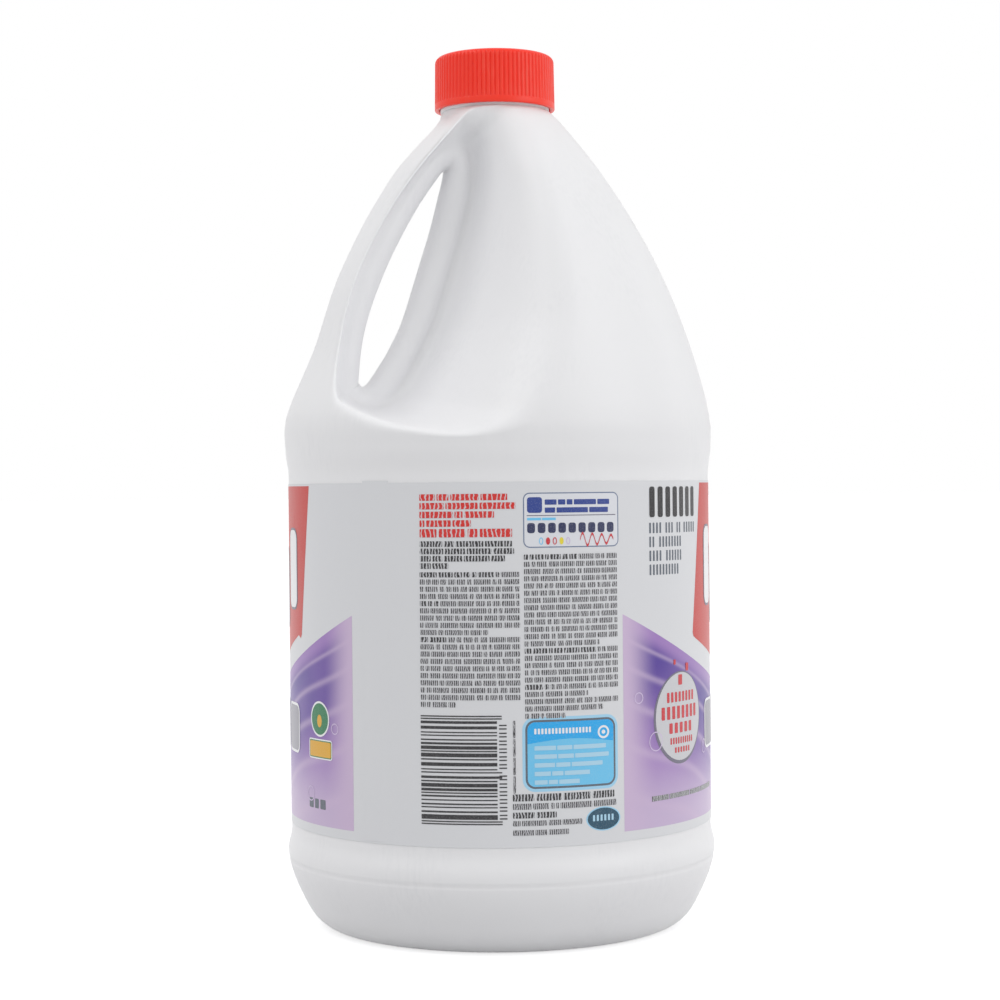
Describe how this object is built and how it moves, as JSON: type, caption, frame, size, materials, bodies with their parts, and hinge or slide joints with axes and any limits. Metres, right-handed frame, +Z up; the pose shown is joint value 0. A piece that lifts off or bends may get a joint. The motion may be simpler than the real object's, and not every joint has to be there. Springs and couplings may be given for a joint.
{
  "type": "bleach bottle",
  "caption": "Round white blow-moulded jug with a hollow side handle and finger hole, a ribbed red screw cap with a sealing wad, and a wrap-around printed label.",
  "frame": {"origin": "centre of the ring that the bottle stands on, on the floor", "axes": "+Z up along the bottle's axis; the handle points to -X; the mould's parting plane is Y = 0"},
  "size_m": [0.1342, 0.134, 0.2708],
  "materials": {
    "bottle_white": "satin blow-moulded polyethylene",
    "cap_red": "semi-gloss moulded polypropylene",
    "liner_foam": "fine closed-cell foam",
    "label_print": "smooth printed film with a faint gloss"
  },
  "bodies": {
    "jug": {"bottle": "bottle_white", "label": "label_print"},
    "cap_carrier": {"cap_liner": "liner_foam"},
    "screw_cap": {"cap": "cap_red"}
  },
  "joints": [
    {"name": "cap_lift", "type": "slide", "parent": "jug", "child": "cap_carrier", "axis": [0, 0, 1], "range_m": [0, 0.0064]},
    {"name": "cap_turn", "type": "hinge", "parent": "cap_carrier", "child": "screw_cap", "pos_m": [0, 0, 0.262], "axis": [0, 0, 1], "range_deg": [0, 540]}
  ],
  "couplings": [
    {"joint": "cap_lift", "follows": "cap_turn", "m_per_rad": 0.00067375}
  ]
}
